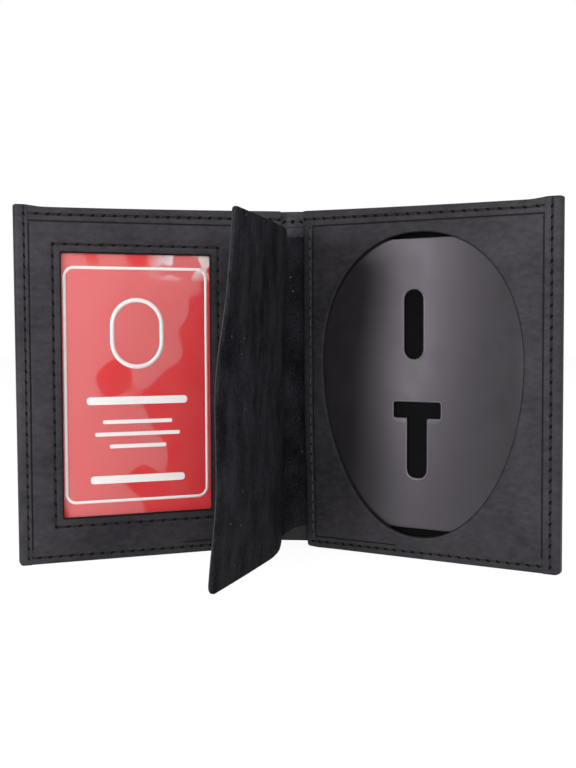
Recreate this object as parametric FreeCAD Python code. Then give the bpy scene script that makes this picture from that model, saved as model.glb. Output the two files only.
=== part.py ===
import FreeCAD, Part
import os
from math import copysign, cos, radians, sin

# Bifold leather badge wallet, standing open on a table.
# The left half shows an identity card behind a clear window, and the right half
# has an oval cut-out over a slotted badge plate. A leather flap stands between them.
# Lengths are millimetres. X runs across the wallet, Y towards its back, Z up.
# The origin is on the table, in the middle of the divider's strip between the fold axes.

# Folding
rest_fold = 27.1            # degrees that each half stands forward of flat
shut_gap = 2.4              # between the two front faces when the wallet is shut

# Leather, cloth and board
cover_thickness = 1.1
divider_thickness = 0.7
panel_thickness = 1.2
flap_thickness = 1.2
turned_thickness = 0.7      # thinned leather turned over the outer edges
top_binding_thickness = 0.35
plate_thickness = 1.1
film_thickness = 0.3
pocket_cloth = 0.25

# Spine
fold_axis_gap = 0.65        # fold axis in front of the divider
spine_slack = 1.6           # bill space left at the spine
spine_strip_gap = 0.1       # between the spine strip and each fold axis
spine_lift = 0.5            # spine leather cut short at the top, and the cover also at the foot
panel_relief = 0.9          # panels start this far from their fold axis

# Bill compartment
bill_gape = 6.8             # room at the middle of each half
seam_margin = 6.0           # flat sewn margin at the outer edge
gape_heights_share = [0.0, 0.11, 0.26, 0.46, 1.0]   # of the height
gape_shares = [0.04, 0.45, 0.82, 1.0, 1.0]          # of the room, at those heights

# Edge bindings
side_lip = 4.8              # turned edge that shows on the front
side_rise = 0.6             # turned edge standing above the panels
top_lip = 4.0

# Hems turned in behind the panels
hem_width = 5.5

# Identity card, its window and its pocket
card_width = 54.0
card_height = 85.6
card_thickness = 0.76
card_corner = 3.2
card_clearance = 0.2        # to the pocket's seams and foot
card_film_gap = 0.1
pocket_lift = 4.2           # pocket's foot seam above the lower hem
pocket_seam = 1.4           # width of the sewn seam round the pocket
pocket_slack = 0.3          # behind the card
window_side_lap = 3.55      # panel over the card, each side
window_end_lap = 2.5        # panel over the card, top and bottom
window_corner = 1.5
window_inner_margin = 25.2  # fold axis to window
window_outer_margin = 14.6  # window to outer edge
window_head_margin = 13.6   # window to top edge
film_rise = 2.6             # film above the window

# Badge cut-out and plate
oval_inner_lap = 2.5        # panel between the oval and the hem, towards the fold
oval_outer_lap = 4.85
oval_foot_lap = 1.6
oval_head_lap = 1.8
oval_egg_share = 0.11       # of the oval's half width, gained at its head and lost at its foot
oval_blunt_share = 0.94     # power of the oval's sines, where 1 is an ellipse and less is fuller
pin_room = 1.0              # behind the plate, for the badge's pin
plate_corner = 4.0
plate_hem_gap = 0.4
plate_foot_gap = 2.1        # plate's foot inside the oval
plate_head_gap = 1.45
slot_offset = 2.2           # pin slot towards the fold from the oval's middle
tee_offset = 1.1            # tee slot towards the fold from the oval's middle
slot_width = 6.4
slot_height = 21.5
slot_rise = 8.0             # slot above the oval's middle
tee_bar_width = 15.9
tee_bar_height = 5.0
tee_bar_corner = 0.8
tee_stem_width = 6.7
tee_height = 23.6
tee_drop = 5.2              # tee below the oval's middle

# Flap
flap_tip_gap = 5.9          # flap's free edge to the turned edge, when shut
flap_foot = 1.8             # above the table
flap_head_gap = 0.9         # flap's top below the top binding
flap_lean = 8.65            # degrees towards the card side
flap_axis_shift = 0.3       # flap's axis to the card side of the spine's middle
flap_clearance = 0.3        # round its turning edge
flap_free_corner = 3.0
flap_root_corner = 8.0
tab_foot_inset = 3.6        # tab shorter than the flap
tab_head_inset = 1.9
tab_relief = 0.55           # tab stops short of the badge half's fold axis

# Cuts run past the faces that they leave by this much
overrun = 2.0
# An edge counts as running front to back when this much of its direction does
front_to_back_share = 0.5

# Depths in one half, from its fold axis, with the back positive
divider_front = fold_axis_gap
divider_back = divider_front + divider_thickness
plate_back = divider_front - pin_room
panel_back = plate_back - plate_thickness
panel_front = panel_back - panel_thickness
cover_back = divider_back + cover_thickness
film_back = panel_back + film_thickness
card_front = film_back + card_film_gap
card_back = card_front + card_thickness
pocket_front = card_back + pocket_slack
pocket_back = pocket_front + pocket_cloth

# Places along one half, from its fold axis
window_start = window_inner_margin
window_end = window_start + card_width - 2 * window_side_lap
half_width = window_end + window_outer_margin
card_start = window_start - window_side_lap
card_end = card_start + card_width
spine_half = shut_gap / 2 - panel_front
panel_edge = half_width - turned_thickness
seam_start = panel_edge - seam_margin
hem_start = panel_relief + hem_width
hem_end = panel_edge - hem_width
lip_edge = half_width - side_lip
oval_start = hem_start + oval_inner_lap
oval_end = hem_end - oval_outer_lap
oval_centre = (oval_start + oval_end) / 2
slot_centre = oval_centre - slot_offset
tee_centre = oval_centre - tee_offset
flap_length = lip_edge - flap_tip_gap

# Heights
pocket_foot = hem_width + pocket_lift + pocket_seam
card_foot = pocket_foot + card_clearance
card_top = card_foot + card_height
window_foot = card_foot + window_end_lap
window_top = card_top - window_end_lap
height = window_top + window_head_margin
film_top = window_top + film_rise
panel_top = height - top_binding_thickness
oval_foot = hem_width + oval_foot_lap
oval_top = panel_top - hem_width - oval_head_lap
oval_middle = (oval_foot + oval_top) / 2
flap_top = height - top_lip - flap_head_gap

up = FreeCAD.Vector(0, 0, 1)
across = FreeCAD.Vector(1, 0, 0)
origin = FreeCAD.Vector(0, 0, 0)


def block(x_span, y_span, z_span):
    """A box between three pairs of limits."""
    corner = FreeCAD.Vector(x_span[0], y_span[0], z_span[0])
    return Part.makeBox(
        x_span[1] - x_span[0], y_span[1] - y_span[0], z_span[1] - z_span[0], corner
    )


def rounded(solid, radius, keep=lambda point: True):
    """The solid with its front to back edges rounded, where keep says so."""
    corners = [
        edge
        for edge in solid.Edges
        if abs(edge.tangentAt(edge.FirstParameter).y) > front_to_back_share
        and keep(edge.CenterOfMass)
    ]
    return solid.makeFillet(radius, corners)


def upright_prism(points, z_span):
    """A closed outline of (x, y) points, raised from the first height to the second."""
    outline = [FreeCAD.Vector(x, y, z_span[0]) for x, y in points]
    face = Part.Face(Part.makePolygon(outline + outline[:1]))
    return face.extrude(up * (z_span[1] - z_span[0]))


def rod(x, z, radius, y_span):
    """A round bar running front to back."""
    foot = FreeCAD.Vector(x, y_span[0], z)
    return Part.makeCylinder(radius, y_span[1] - y_span[0], foot, FreeCAD.Vector(0, 1, 0))


def on_badge_half(solid):
    """A solid laid out along +X from the fold axis, turned to the badge half's place."""
    placed = solid.copy()
    placed.rotate(origin, up, -rest_fold)
    placed.translate(across * spine_half)
    return placed


def on_id_half(solid):
    """The same for the card half, which mirrors the badge half."""
    return on_badge_half(solid).mirror(origin, across)


def cover_section(share, level):
    """The outline of one half's back cover at one height, with its share of the gape."""
    foot_depth = divider_back + spine_slack
    middle = seam_start / 2
    chord_depth = (foot_depth + divider_back) / 2
    crown_depth = chord_depth + share * (divider_back + bill_gape - chord_depth)

    def at(along, depth):
        return FreeCAD.Vector(along, depth, level)

    def bowed(extra):
        return Part.Arc(
            at(0, foot_depth + extra), at(middle, crown_depth + extra), at(seam_start, divider_back + extra)
        ).toShape()

    def straight(start, end):
        return Part.LineSegment(start, end).toShape()

    inner = bowed(0)
    outer = bowed(cover_thickness)
    edges = [
        inner,
        straight(at(seam_start, divider_back), at(panel_edge, divider_back)),
        straight(at(panel_edge, divider_back), at(panel_edge, cover_back)),
        straight(at(panel_edge, cover_back), at(seam_start, cover_back)),
        outer,
        straight(at(0, foot_depth + cover_thickness), at(0, foot_depth)),
    ]
    return Part.Wire(edges)


def half_cover():
    """Back cover of one half: sewn flat at its outer edge, bowed out to hold bills."""
    sections = [
        cover_section(share, level * height)
        for share, level in zip(gape_shares, gape_heights_share)
    ]
    return Part.makeLoft(sections, True, True)


def half_divider():
    """Flat sheet between the bill compartment and the pockets."""
    return block((0, panel_edge), (divider_front, divider_back), (0, height))


def side_binding():
    """Leather of the cover turned round the outer edge and over the panel's front."""
    lip_front = panel_front - turned_thickness
    outline = [
        (lip_edge, lip_front),
        (half_width, lip_front),
        (half_width, cover_back),
        (panel_edge, cover_back),
        (panel_edge, panel_front),
        (lip_edge, panel_front),
    ]
    return upright_prism(outline, (0, height + side_rise))


def top_binding():
    """Strip turned over a panel's top edge, between the fold and the side binding."""
    front = panel_front - top_binding_thickness
    face = block((panel_relief, lip_edge), (front, panel_front), (height - top_lip, height))
    cap = block((panel_relief, lip_edge), (panel_front, panel_back), (panel_top, height))
    return face.fuse(cap).removeSplitter()


def panel_sheet():
    """Front leather of one half, cut square under its top binding."""
    sheet = block((panel_relief, panel_edge), (panel_front, panel_back), (0, panel_top))
    notch = block((lip_edge, panel_edge), (panel_front, panel_back), (panel_top, height))
    return sheet.fuse(notch).removeSplitter()


def hem(x_span, z_span, seat):
    """Leather turned in behind a panel, down to what it is sewn to."""
    return block(x_span, (panel_back, seat), z_span)


def id_panel():
    """Front panel of the card half, with its window and hems, open at the top."""
    panel = panel_sheet().multiFuse(
        [
            hem((panel_relief, hem_start), (0, panel_top), divider_front),
            hem((hem_end, panel_edge), (0, height), divider_front),
            hem((panel_relief, panel_edge), (0, hem_width), divider_front),
        ]
    )
    window = block(
        (window_start, window_end),
        (panel_front - overrun, panel_back + overrun),
        (window_foot, window_top),
    )
    return panel.cut(rounded(window, window_corner)).removeSplitter()


def window_film():
    """Clear sheet behind the window."""
    return block(
        (card_start - card_clearance - pocket_seam, card_end + card_clearance + pocket_seam),
        (panel_back, film_back),
        (pocket_foot - pocket_seam, film_top),
    )


def card_pocket():
    """Cloth behind the card, seamed to the film at the foot and both sides."""
    outer = (card_start - card_clearance - pocket_seam, card_end + card_clearance + pocket_seam)
    inner = (card_start - card_clearance, card_end + card_clearance)
    tray = block(outer, (film_back, pocket_back), (pocket_foot - pocket_seam, card_top))
    room = block(inner, (film_back - overrun, pocket_front), (pocket_foot, card_top + overrun))
    return tray.cut(room)


def id_card():
    """Stiff card, standing on the pocket's foot seam."""
    card = block((card_start, card_end), (card_front, card_back), (card_foot, card_top))
    return rounded(card, card_corner)


def blunted(value):
    """A sine or cosine of the oval, made fuller."""
    return copysign(abs(value) ** oval_blunt_share, value)


def oval_cut():
    """The badge cut-out, as a solid egg-shaped oval through the panel."""
    half_wide = (oval_end - oval_start) / 2
    half_high = (oval_top - oval_foot) / 2
    points = []
    for turn in range(0, 360, 10):
        high = blunted(sin(radians(turn)))
        wide = blunted(cos(radians(turn))) * (1 + oval_egg_share * high)
        points.append(
            FreeCAD.Vector(
                oval_centre + half_wide * wide, panel_front - overrun, oval_middle + half_high * high
            )
        )
    curve = Part.BSplineCurve()
    curve.interpolate(points, PeriodicFlag=True)
    outline = Part.Wire(curve.toShape())
    return Part.Face(outline).extrude(FreeCAD.Vector(0, panel_thickness + 2 * overrun, 0))


def badge_panel():
    """Front panel of the badge half, with its oval cut-out and hems all round."""
    seat = divider_front - flap_thickness
    panel = panel_sheet().multiFuse(
        [
            hem((panel_relief, hem_start), (0, panel_top), seat),
            hem((hem_end, panel_edge), (0, height), divider_front),
            hem((hem_start, panel_edge), (0, hem_width), divider_front),
            hem((hem_start, hem_end), (panel_top - hem_width, panel_top), divider_front),
        ]
    )
    return panel.cut(oval_cut()).removeSplitter()


def badge_plate():
    """Board behind the oval, with a pin slot above and a tee slot below."""
    through = (panel_back - overrun, plate_back + overrun)
    board = rounded(
        block(
            (hem_start + plate_hem_gap, hem_end - plate_hem_gap),
            (panel_back, plate_back),
            (oval_foot + plate_foot_gap, oval_top - plate_head_gap),
        ),
        plate_corner,
    )

    def channel(centre, width, foot, top):
        return block((centre - width / 2, centre + width / 2), through, (foot, top))

    slot_radius = slot_width / 2
    stem_radius = tee_stem_width / 2
    slot_foot = oval_middle + slot_rise
    slot_top = slot_foot + slot_height
    tee_top = oval_middle - tee_drop
    tee_foot = tee_top - tee_height
    bar = rounded(channel(tee_centre, tee_bar_width, tee_top - tee_bar_height, tee_top), tee_bar_corner)
    return board.cut(
        [
            channel(slot_centre, slot_width, slot_foot + slot_radius, slot_top - slot_radius),
            rod(slot_centre, slot_foot + slot_radius, slot_radius, through),
            rod(slot_centre, slot_top - slot_radius, slot_radius, through),
            bar,
            channel(tee_centre, tee_stem_width, tee_foot + stem_radius, tee_top - tee_bar_height / 2),
            rod(tee_centre, tee_foot + stem_radius, stem_radius, through),
        ]
    ).removeSplitter()


def tab_heights():
    """Lower and upper end of the flap's sewn tab."""
    return flap_foot + tab_foot_inset, flap_top - tab_head_inset


def flap_seam_margin():
    """Sewn margin of the flap, held between the badge panel's hem and the divider."""
    return block((panel_relief, hem_start), (divider_front - flap_thickness, divider_front), tab_heights())


def flap_tab():
    """Stretch of the flap that lies on the spine, up to its turning edge."""
    start = flap_thickness / 2 + flap_clearance - flap_axis_shift
    return block(
        (start, spine_half - tab_relief),
        (divider_front - flap_thickness, divider_front),
        tab_heights(),
    )


def badge_flap():
    """Standing leaf between the halves, round along its turning edge."""
    radius = flap_thickness / 2
    leaf = block((0, flap_length), (-radius, radius), (flap_foot, flap_top))
    leaf = rounded(leaf, flap_free_corner, lambda point: point.x > flap_length / 2)
    leaf = rounded(leaf, flap_root_corner, lambda point: point.x < flap_length / 2)
    bead = Part.makeCylinder(
        radius,
        flap_top - flap_foot - 2 * flap_root_corner,
        FreeCAD.Vector(0, 0, flap_foot + flap_root_corner),
    )
    flap = leaf.fuse(bead).removeSplitter()
    flap.rotate(origin, up, -(90 + flap_lean))
    depth = divider_front - flap_clearance - radius
    flap.translate(FreeCAD.Vector(-flap_axis_shift, depth, 0))
    return flap


def spine_divider():
    """Strip of the divider between the two fold axes."""
    reach = spine_half - spine_strip_gap
    return block((-reach, reach), (divider_front, divider_back), (0, height - spine_lift))


def spine_cover():
    """Back of the spine, rolled round both fold axes to meet the covers."""
    inner = divider_back + spine_slack
    outer = inner + cover_thickness
    angle = radians(rest_fold)

    def at(side, radius, turn):
        return FreeCAD.Vector(
            side * (spine_half + radius * sin(turn)), radius * cos(turn), spine_lift
        )

    def roll(side, radius):
        return Part.Arc(
            at(side, radius, 0), at(side, radius, angle / 2), at(side, radius, angle)
        ).toShape()

    def straight(start, end):
        return Part.LineSegment(start, end).toShape()

    edges = [
        straight(at(-1, inner, 0), at(1, inner, 0)),
        roll(1, inner),
        straight(at(1, inner, angle), at(1, outer, angle)),
        roll(1, outer),
        straight(at(1, outer, 0), at(-1, outer, 0)),
        roll(-1, outer),
        straight(at(-1, outer, angle), at(-1, inner, angle)),
        roll(-1, inner),
    ]
    outline = Part.Wire(Part.__sortEdges__(edges))
    return Part.Face(outline).extrude(up * (height - 2 * spine_lift))


def make_parts():
    """Every piece of the wallet by name, in its place."""
    return {
        "id_cover": on_id_half(half_cover()),
        "id_divider": on_id_half(half_divider()),
        "id_side_binding": on_id_half(side_binding()),
        "id_top_binding": on_id_half(top_binding()),
        "id_panel": on_id_half(id_panel()),
        "id_window_film": on_id_half(window_film()),
        "id_card_pocket": on_id_half(card_pocket()),
        "id_card": on_id_half(id_card()),
        "badge_cover": on_badge_half(half_cover()),
        "badge_divider": on_badge_half(half_divider()),
        "badge_side_binding": on_badge_half(side_binding()),
        "badge_top_binding": on_badge_half(top_binding()),
        "badge_panel": on_badge_half(badge_panel()),
        "badge_plate": on_badge_half(badge_plate()),
        "flap_seam_margin": on_badge_half(flap_seam_margin()),
        "flap_tab": flap_tab(),
        "badge_flap": badge_flap(),
        "spine_divider": spine_divider(),
        "spine_cover": spine_cover(),
    }


os.makedirs("parts", exist_ok=True)
strip_depth = (divider_front + divider_back) / 2
for name, solid in make_parts().items():
    solid.translate(FreeCAD.Vector(0, -strip_depth, 0))
    solid.exportStep(os.path.join("parts", name + ".step"))
    print(name, "valid" if solid.isValid() else "NOT VALID", len(solid.Solids), round(solid.Volume, 1))
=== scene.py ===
import math

import bmesh
import bpy
import numpy as np
from mathutils import Matrix, Vector

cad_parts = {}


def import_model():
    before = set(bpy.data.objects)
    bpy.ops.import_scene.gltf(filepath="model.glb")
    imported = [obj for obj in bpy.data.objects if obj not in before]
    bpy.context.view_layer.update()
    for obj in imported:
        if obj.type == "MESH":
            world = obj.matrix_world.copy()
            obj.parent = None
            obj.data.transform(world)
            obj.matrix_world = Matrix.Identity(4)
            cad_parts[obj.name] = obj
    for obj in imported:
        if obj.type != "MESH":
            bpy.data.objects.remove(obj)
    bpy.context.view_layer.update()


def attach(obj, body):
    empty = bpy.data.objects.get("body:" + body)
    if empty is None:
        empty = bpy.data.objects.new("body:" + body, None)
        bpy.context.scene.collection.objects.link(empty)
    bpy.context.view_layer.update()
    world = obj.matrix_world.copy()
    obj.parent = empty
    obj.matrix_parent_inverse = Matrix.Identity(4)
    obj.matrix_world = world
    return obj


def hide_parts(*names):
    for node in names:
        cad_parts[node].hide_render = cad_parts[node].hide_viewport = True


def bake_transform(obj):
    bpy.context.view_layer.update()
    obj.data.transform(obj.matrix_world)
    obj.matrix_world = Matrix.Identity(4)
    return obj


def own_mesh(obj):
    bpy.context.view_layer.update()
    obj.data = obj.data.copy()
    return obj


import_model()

# Sizes are millimetres until a mesh is made. On one half a point is (along, depth, z):
# along from the fold axis, depth behind it with the front negative, z above the table.
# A box is its two ends along and its two heights.
MM = 0.001
SIDES = {"id": -1, "badge": 1}
FOLD = math.radians(27.1)
SPINE = 3.85  # fold axis from the middle
STRIP = 1.0  # fold axes in front of the origin
HEIGHT = 108.0
HALF = 86.7

# Panels and their turned edges
PANEL_START = 0.9
PANEL_EDGE = 86.0
PANEL_TOP = 107.65
PANEL_FRONT = -2.65
PANEL_BACK = -1.45
PANEL_CORNER = 0.7
LIP_EDGE = 81.9  # inner end of the turned outer edge
LIP_FRONT = -2.88
LIP_BACK = PANEL_FRONT + 0.12
TOP_LIP_EDGE = HEIGHT - 4.0
TOP_LIP_FRONT = PANEL_FRONT - 0.16
SIDE_TOP = 108.6

# Dividers and covers
DIVIDER_THICK = 0.7
DIVIDER_MIDDLE = 1.0
DIVIDER_BACK = 1.35
DIVIDER_ROLL = 1.0  # radius of its bend round the fold axis
DIVIDER_SHADE_LINED = 8.0  # its front is lined from here on, the darkened lining a painted shade in the pockets
COVER_THICK = 1.1
COVER_ROLL = 3.5
COVER_FOOT = 2.95  # inner face of the cover at the fold axis
COVER_SEAM = 80.0  # where the cover lies flat on the divider
COVER_BACK = 2.45
BILL_GAPE = 6.0  # bow of the cover over its chord
SPINE_STRIP_END = 1.6
SPINE_SEAM_END = 1.2

# Window, card and plate. Depths are front and back.
WINDOW = (25.2, 72.1, 13.8, 94.4)
FILM = (20.05, 77.25, 9.7, 97.0)
FILM_THICK = 0.25
CARD = (21.65, 75.65, 11.3, 96.9)
CARD_DEPTH = (-1.03, -0.3)
PRINT_DEPTH = (-1.055, -1.02)
POCKET_DEPTH = (0.02, 0.26)
OVAL = (42.275, 53.725, 33.375, 46.625)  # middle along and up, half width and half height
OVAL_EGG, OVAL_BLUNT = 0.11, 0.94
PLATE = (6.8, 80.1, 9.2, 98.9)
PLATE_THICK = 1.05
PIN_X = 39.8
PIN = (PIN_X - 3.2, PIN_X + 3.2, 61.7, 83.2)
PIN_RADIUS = 3.19
TEE_X = 40.9

# Flap and its tab
FLAP_AXIS = (-0.3, -1.25)
FLAP_LEAN = 8.65  # degrees towards the card half
FLAP_TWIST = 3.05  # degrees more at the foot and less at the top
FLAP_LENGTH = 76.0
FLAP_Z = (1.8, 103.1)
FLAP_HALF = 0.6  # half its thickness
FLAP_BOW = 0.9
FLAP_CURL = 0.5  # of its free edge at the top
FLAP_WAVES = ((0.55, 0.22, 0.12), (-1.7, 0.55, 0.165))  # of that edge: size, share of the height, spread
FLAP_FOOT = (2.5, 14, 6)  # rise of the foot at the root, how far out, how quickly it ends upwards
FLAP_SAG = (1.5, 7, 3)  # drop of the foot past the root, likewise
ROOT_REACH = (26, 8)  # length of the root's bend at the foot, and how much shorter it is at the top
TAB_Z = (6.6, 101.2)
TAB_END = 6.3
TAB_DROP = 4.4  # of its foot at the flap's root

# Sewing
STITCH_PITCH = 3.15
TOP_PITCH = {"id": 3.35, "badge": 3.65}
WINDOW_PITCH = 3.6
TOP_SEAM = HEIGHT - 2.2
FOOT_SEAM = 2.1
BACK_FOOT_SEAM = 1.9
SIDE_SEAM = {"id": 83.3, "badge": 84.0}
FOLD_SEAM = PANEL_START + 2.8
WINDOW_SEAM = 2.6  # outside the window's edge
LINE_POINTS = 24
THREAD_RADIUS = 0.16
THREAD_RINGS, THREAD_SIDES = 7, 6
THREAD_GAP = 0.04  # share of the pitch left free at each end
HOLE_SIDES = 8
HOLE_RINGS = ((-0.2, 0.6), (0.14, 0.5), (0.04, 0.22))  # height and size

# Softness
TOP_LIFT = 1.5  # of the top edge at the fold
TOP_LIFT_FROM = 90
FOOT_LIFT = 1.2  # of the spine's foot off the table
FOOT_LIFT_OUT, FOOT_LIFT_UP = 4, 10
FOOT_DRAW = 1.2  # of the badge half's fold edge at its foot
FOOT_DRAW_OUT, FOOT_DRAW_UP = 30, 50
EDGE_DRAW, EDGE_DRAW_FOOT = 0.85, 0.4  # of the card half's outer edge, and how much more at its foot
BADGE_BOW = 0.42
CARD_BOW = 0.16
CARD_TURN, CARD_TURN_FROM, CARD_TURN_OVER = 0.3, 66, 20  # forward turn of the card half's outer edge
PINCH = 0.42  # share of the depth that sewing takes away
PINCH_DEPTH = -0.2  # where it presses to
PINCH_CURVE = 1.6
PINCH_OUTER = 73  # start of the outer edge's press
PINCH_REACH = 9  # height of the foot's and the top's press
PINCH_FOLD = 7  # length of the fold's press
PINCH_FOOT_FULL = 12  # where the foot's press has its full depth


# Places

def unit(value):
    """A value held between 0 and 1."""
    return np.clip(value, 0, 1)


def drawn(side, along, z):
    """The card half is a little narrower at its outer edge, and the badge half at the fold's foot."""
    if side > 0:
        draw = FOOT_DRAW * (1 - unit(z / FOOT_DRAW_UP) ** 2) ** 2 * unit(along / PANEL_START)
        return along + draw * (1 - unit(along / FOOT_DRAW_OUT)) ** 2
    draw = EDGE_DRAW + EDGE_DRAW_FOOT * (1 - z / HEIGHT)
    return along - draw * unit((along - LIP_EDGE) / (HALF - LIP_EDGE))


def lifted(along, z):
    """The top edge stands a little higher towards the fold, and the spine's foot clears the table."""
    high = unit((z - TOP_LIFT_FROM) / (HEIGHT - TOP_LIFT_FROM))
    top = TOP_LIFT * (1 - unit(along / HALF)) ** 1.6 * high ** 4
    low = unit((FOOT_LIFT_UP - z) / FOOT_LIFT_UP)
    return z + top + FOOT_LIFT * (1 - unit(along / FOOT_LIFT_OUT)) ** 3 * low ** 2


def on_half(side, along, depth, z):
    """Places on a half, in the row frame."""
    z = lifted(along, z)
    along = drawn(side, along, z)
    x = side * (SPINE + along * np.cos(FOLD) + depth * np.sin(FOLD))
    y = -STRIP - along * np.sin(FOLD) + depth * np.cos(FOLD)
    return np.stack(np.broadcast_arrays(x, y, z), -1)


def on_shell(side, s, depth, z, radius):
    """Places on a sheet that runs from a half (s above 0) round the fold axis to the spine."""
    roll = radius * FOLD
    z = lifted(s, z)
    s = drawn(side, s, z)
    turn = FOLD + np.clip(s, -roll, 0) / radius
    flat = np.minimum(s + roll, 0)
    x = SPINE + depth * np.sin(turn) + flat + np.maximum(s, 0) * np.cos(FOLD)
    y = -STRIP + depth * np.cos(turn) - np.maximum(s, 0) * np.sin(FOLD)
    return np.stack(np.broadcast_arrays(side * x, y, z), -1)


def swell(side, along, z):
    """How far the soft front of a half stands forward of its flat place."""
    t = unit(along / HALF)
    h = z / HEIGHT
    arch = np.sin(np.pi * t)
    if side > 0:
        bow = BADGE_BOW * arch ** 0.8
    else:
        bow = CARD_BOW * arch + CARD_TURN * unit((along - CARD_TURN_FROM) / CARD_TURN_OVER) ** 2
    wave = 0.07 * np.sin(5.1 * t + 2.3 * h + side) + 0.06 * np.sin(9.0 * h - 3.1 * t + 0.6 * side)
    return bow + wave * arch ** 0.5


def pinch(depth, along, z, inner):
    """Depths pressed together towards the sewn outer edge and foot, if inner also the top and fold."""
    outer = unit((along - PINCH_OUTER) / (HALF - PINCH_OUTER)) ** PINCH_CURVE
    foot = unit((PINCH_REACH - z) / PINCH_REACH) ** PINCH_CURVE * unit(along / PINCH_FOOT_FULL)
    loose = (1 - outer) * (1 - foot)
    if inner:
        top = 0.5 * unit((z - (HEIGHT - PINCH_REACH)) / PINCH_REACH) ** PINCH_CURVE
        fold = 0.5 * unit((PINCH_FOLD - along) / PINCH_FOLD) ** PINCH_CURVE
        loose = loose * (1 - top) * (1 - fold)
    return PINCH_DEPTH + (depth - PINCH_DEPTH) * (1 - PINCH * (1 - loose))


def half_place(side, soft):
    """Mapper for a half: the pieces on its soft front, or what lies flat behind it."""
    def place(points):
        along, depth, z = np.moveaxis(points, -1, 0)
        if soft:
            depth = depth - swell(side, along, z)
        return on_half(side, along, pinch(depth, along, z, soft), z)
    return place


SOFT = {half: half_place(side, True) for half, side in SIDES.items()}
FLAT = {half: half_place(side, False) for half, side in SIDES.items()}


# Outlines: closed rings of (along, z), each with four sides that start at a corner's middle

GRID = (26, 32, 4)  # points on a ring's straight sides along and up, and on half of each corner


def counts(grid):
    """How many points each of the four sides has."""
    nx, nz, k = grid
    return [2 * k + nx, 2 * k + nz] * 2


def inset(size, d):
    """A box moved inwards by a length."""
    x0, x1, z0, z1 = size
    return x0 + d, x1 - d, z0 + d, z1 - d


def pointing(degrees):
    a = math.radians(degrees)
    return np.array((math.cos(a), math.sin(a)))


def rect(size, radii, grid=GRID):
    """A box with rounded corners of one radius, or of four from the fold's foot on."""
    x0, x1, z0, z1 = size
    nx, nz, k = grid
    radii = np.broadcast_to(radii, 4)
    corners = [(x0, z0, 1, 1), (x1, z0, -1, 1), (x1, z1, -1, -1), (x0, z1, 1, -1)]
    centres = [np.array((x + sx * r, z + sz * r)) for (x, z, sx, sz), r in zip(corners, radii)]
    turns = 45 * (np.arange(k) / k)
    ring = []
    for i in range(4):
        j = (i + 1) % 4
        n = nz if i % 2 else nx
        out = pointing(270 + 90 * i)
        start, end = centres[i] + radii[i] * out, centres[j] + radii[j] * out
        ring += [centres[i] + radii[i] * pointing(225 + 90 * i + a) for a in turns]
        ring += [start + (end - start) * t for t in np.arange(n) / n]
        ring += [centres[j] + radii[j] * pointing(270 + 90 * i + a) for a in turns]
    return np.array(ring)


def blunted(value):
    return np.sign(value) * abs(value) ** OVAL_BLUNT


def egg(angle):
    """The badge cut-out's edge at some angles round its middle."""
    cx, cz, a, b = OVAL
    high = blunted(np.sin(angle))
    return np.stack((cx + a * blunted(np.cos(angle)) * (1 + OVAL_EGG * high), cz + b * high), -1)


def oval(grown):
    """The cut-out's edge, moved outwards by a length."""
    steps = [np.arange(n) / n + i for i, n in enumerate(counts(GRID))]
    angle = np.radians(225 + 90 * np.concatenate(steps))
    way = egg(angle + 0.01) - egg(angle - 0.01)
    out = np.stack((way[:, 1], -way[:, 0]), -1) / np.linalg.norm(way, axis=-1, keepdims=True)
    return egg(angle) + grown * out


def at_depth(ring, depth):
    """A ring as (along, depth, z) points, at one depth or each at its own."""
    return np.stack((ring[:, 0], np.zeros(len(ring)) + depth, ring[:, 1]), -1)


# Meshes

def make_piece(name, points, faces, materials, indices=None, sharp=None):
    """A smooth mesh, with a look's index per face and hard edges from sharp degrees on."""
    mesh = bpy.data.meshes.new(name)
    mesh.from_pydata((np.asarray(points) * MM).tolist(), [], [list(map(int, f)) for f in faces])
    for material in materials:
        mesh.materials.append(material)
    if indices is not None:
        mesh.polygons.foreach_set("material_index", np.asarray(indices, np.int32))
    bm = bmesh.new()
    bm.from_mesh(mesh)
    bmesh.ops.recalc_face_normals(bm, faces=bm.faces)
    bm.to_mesh(mesh)
    bm.free()
    mesh.polygons.foreach_set("use_smooth", np.ones(len(mesh.polygons), bool))
    if sharp:
        mesh.set_sharp_from_angle(angle=math.radians(sharp))
    mesh.update()
    obj = bpy.data.objects.new(name, mesh)
    bpy.context.scene.collection.objects.link(obj)
    return obj


def ring_faces(loops, n, closed):
    """Faces between loops of n points, if closed also from the last loop to the first."""
    faces = []
    for a in range(loops if closed else loops - 1):
        b = (a + 1) % loops
        for i in range(n):
            j = (i + 1) % n
            faces.append((a * n + i, a * n + j, b * n + j, b * n + i))
    return faces


def tube_faces(loops, n, first=0):
    """Faces of a tube with both ends shut, from point number first on."""
    faces = ring_faces(loops, n, False) + [tuple(range(n)), tuple(range((loops - 1) * n, loops * n))]
    return [tuple(v + first for v in face) for face in faces]


def ring_sheet(name, loops, place, materials, indices=None):
    """A sheet with a hole, from closed loops of (along, depth, z) taken round its section."""
    loops = np.array(loops)
    points = place(loops).reshape(-1, 3)
    return make_piece(name, points, ring_faces(len(loops), loops.shape[1], True), materials, indices)


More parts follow.
